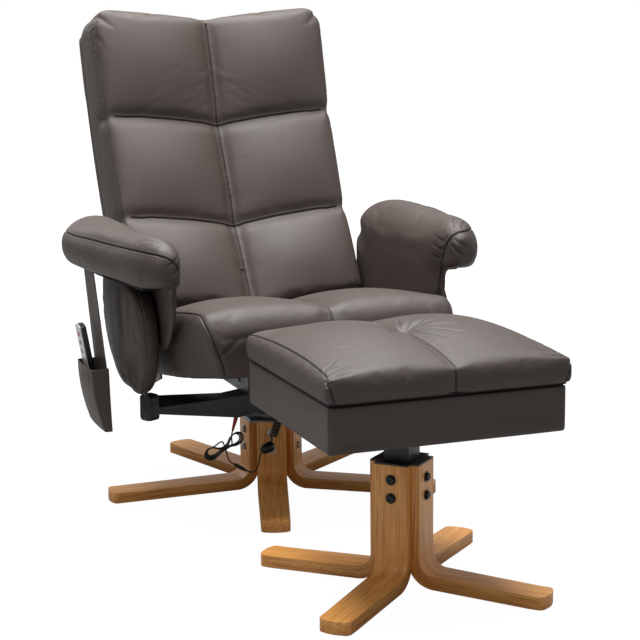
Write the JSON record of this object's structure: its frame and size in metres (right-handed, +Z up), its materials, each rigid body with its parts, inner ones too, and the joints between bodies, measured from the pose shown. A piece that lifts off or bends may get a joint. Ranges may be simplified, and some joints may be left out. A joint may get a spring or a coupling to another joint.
{
  "type": "reflexology chair",
  "caption": "Reclining upholstered massage chair on a swivelling bent-plywood star base, with padded arms, a handset pocket and a matching storage footstool.",
  "frame": {"origin": "on the floor, at the point under the chair's swivel axis", "axes": "+Z up; the chair faces -Y, towards its footstool; +X is to the sitter's left"},
  "size_m": [0.8346, 1.4666, 1.0146],
  "materials": {
    "faux_leather": "soft satin faux leather",
    "oak": "satin lacquer on bent plywood",
    "board": "raw particle board and plywood",
    "black_steel": "satin black powder coat",
    "plain_steel": "plain turned steel",
    "bright_bolt": "bright zinc plate",
    "black_plastic": "satin moulded plastic",
    "white_plastic": "satin moulded plastic",
    "grey_plastic": "soft-touch buttons",
    "red_plastic": "moulded strain relief",
    "black_cloth": "thin non-woven backing",
    "black_cord": "satin cord jacket"
  },
  "bodies": {
    "chair_base": {"base_leg_1": "oak", "base_leg_2": "oak", "base_leg_3": "oak", "base_leg_4": "oak", "base_leg_5": "oak", "base_bolts": "bright_bolt", "base_hub": "black_steel", "base_top_plate": "black_steel", "swivel_spindle": "plain_steel", "thrust_bearing": "plain_steel"},
    "seat_frame": {"seat_cradle": "black_steel", "crossbar": "black_steel", "bar_cap_right": "black_plastic", "bar_cap_left": "black_plastic", "arm_upright_right": "black_steel", "arm_upright_left": "black_steel", "arm_side_right": "faux_leather", "arm_side_left": "faux_leather", "arm_pad_right": "faux_leather", "arm_pad_left": "faux_leather", "arm_inner_right": "faux_leather", "arm_inner_left": "faux_leather", "arm_boards": "board", "seat_board": "board", "seat_cushion": "faux_leather", "seat_under_cover": "black_cloth", "seat_hinge_plates": "black_steel", "seat_motors": "black_plastic", "side_pocket": "faux_leather", "power_plug": "red_plastic", "power_lead": "black_cord", "cord_hank": "black_cord", "lead_drop": "black_cord", "inline_connector": "black_plastic", "lead_loop": "black_cord", "curl_plug": "black_plastic", "curly_cord": "black_cord"},
    "backrest": {"back_board": "board", "back_cushion": "faux_leather", "back_rear_panel": "faux_leather", "back_motors": "black_plastic", "back_hinge_arms": "black_steel"},
    "stool": {"stool_leg_1": "oak", "stool_leg_2": "oak", "stool_leg_3": "oak", "stool_leg_4": "oak", "stool_bolts": "black_steel", "stool_cover_plate": "black_steel", "stool_tube": "black_steel", "stool_mount_plate": "black_steel", "stool_box": "faux_leather", "stool_hinge_leaf": "plain_steel"},
    "stool_lid": {"lid_board": "board", "lid_cushion": "faux_leather", "lid_hinge_leaf": "plain_steel"},
    "handset": {"handset_body": "black_plastic", "handset_face": "white_plastic"},
    "button_power": {"button_power": "grey_plastic"},
    "button_mode": {"button_mode": "grey_plastic"},
    "button_strength": {"button_strength": "grey_plastic"}
  },
  "joints": [
    {"name": "chair_swivel", "type": "hinge", "parent": "chair_base", "child": "seat_frame", "pos_m": [0, 0, 0.16], "axis": [0, 0, 1], "continuous": true},
    {"name": "backrest_recline", "type": "hinge", "parent": "seat_frame", "child": "backrest", "pos_m": [0, 0.2, 0.268], "axis": [-1, 0, 0], "range_deg": [0, 28]},
    {"name": "footstool_slide", "type": "slide", "parent": "chair_base", "child": "stool", "axis": [0, -1, 0], "range_m": [0, 0.6]},
    {"name": "stool_lid_hinge", "type": "hinge", "parent": "stool", "child": "stool_lid", "pos_m": [0.0035, -0.4941, 0.385], "axis": [-1, 0, 0], "range_deg": [0, 95]},
    {"name": "handset_lift", "type": "slide", "parent": "seat_frame", "child": "handset", "axis": [-0.165, 0, 0.9863], "range_m": [0, 0.09]},
    {"name": "button_power_press", "type": "slide", "parent": "handset", "child": "button_power", "axis": [0.9863, 0, 0.165], "range_m": [0, 0.001], "stiffness_N_per_m": 250, "springref_m": -0.001},
    {"name": "button_mode_press", "type": "slide", "parent": "handset", "child": "button_mode", "axis": [0.9863, 0, 0.165], "range_m": [0, 0.001], "stiffness_N_per_m": 250, "springref_m": -0.001},
    {"name": "button_strength_press", "type": "slide", "parent": "handset", "child": "button_strength", "axis": [0.9863, 0, 0.165], "range_m": [0, 0.001], "stiffness_N_per_m": 250, "springref_m": -0.001}
  ]
}
